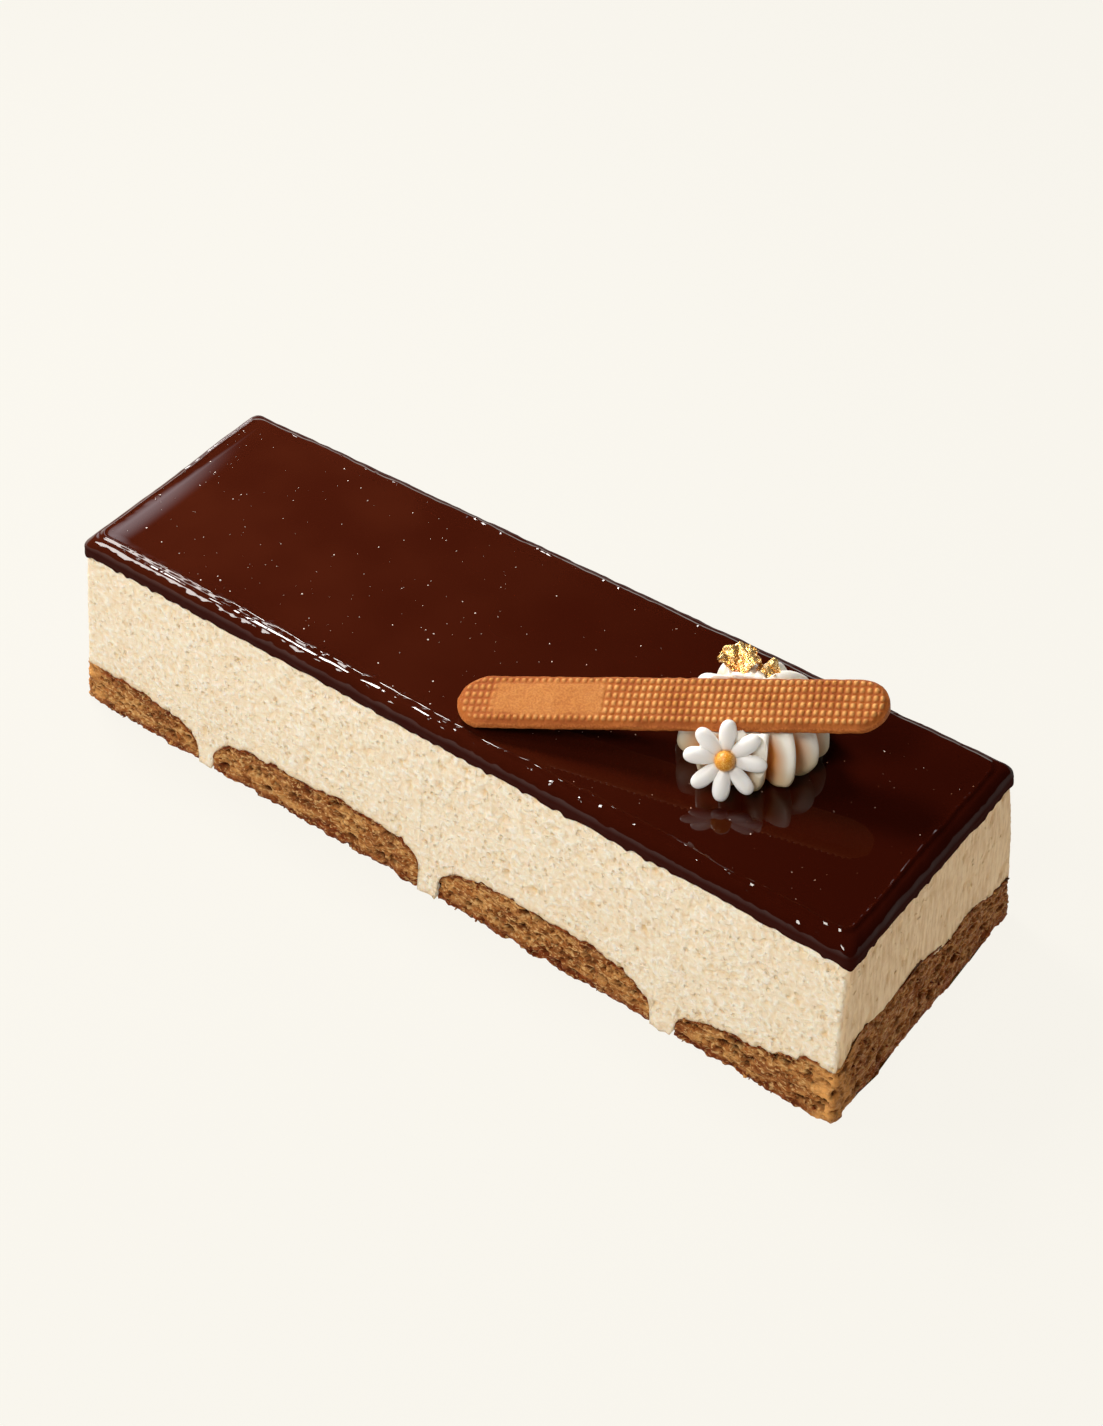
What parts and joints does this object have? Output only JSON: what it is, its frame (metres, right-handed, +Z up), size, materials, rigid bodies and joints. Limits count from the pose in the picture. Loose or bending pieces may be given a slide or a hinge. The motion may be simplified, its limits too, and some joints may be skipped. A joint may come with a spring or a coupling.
{
  "type": "tiramisu",
  "caption": "Rectangular tiramisu bar of mascarpone cream on soaked ladyfingers under a poured chocolate glaze, garnished with a piped rosette, biscuit stick, sugar daisy and gold leaf.",
  "frame": {"origin": "middle of the base, on the surface that the bar rests on", "axes": "+X along the bar towards the end that carries the garnish, +Y towards the back, +Z up"},
  "size_m": [0.1216, 0.0417, 0.0405],
  "materials": {
    "sponge": "soaked crumb, dull, brown crust round an olive-tan middle",
    "cream": "cut aerated cream, porous and dull",
    "glaze": "mirror gloss, very dark brown",
    "piped_cream": "smooth piped cream, satin",
    "biscuit": "baked, dry, golden brown",
    "sugar": "smooth sugar paste, satin white",
    "sugar_ball": "pearly orange sugar",
    "gold": "crumpled leaf, bright polish"
  },
  "bodies": {
    "root": {"ladyfinger_1": "sponge", "ladyfinger_2": "sponge", "ladyfinger_3": "sponge", "ladyfinger_4": "sponge", "mascarpone_cream": "cream", "chocolate_glaze": "glaze", "cream_rosette": "piped_cream", "biscuit_stick": "biscuit", "daisy_petals": "sugar", "daisy_centre": "sugar_ball", "gold_leaf_large": "gold", "gold_leaf_small": "gold"}
  },
  "joints": []
}
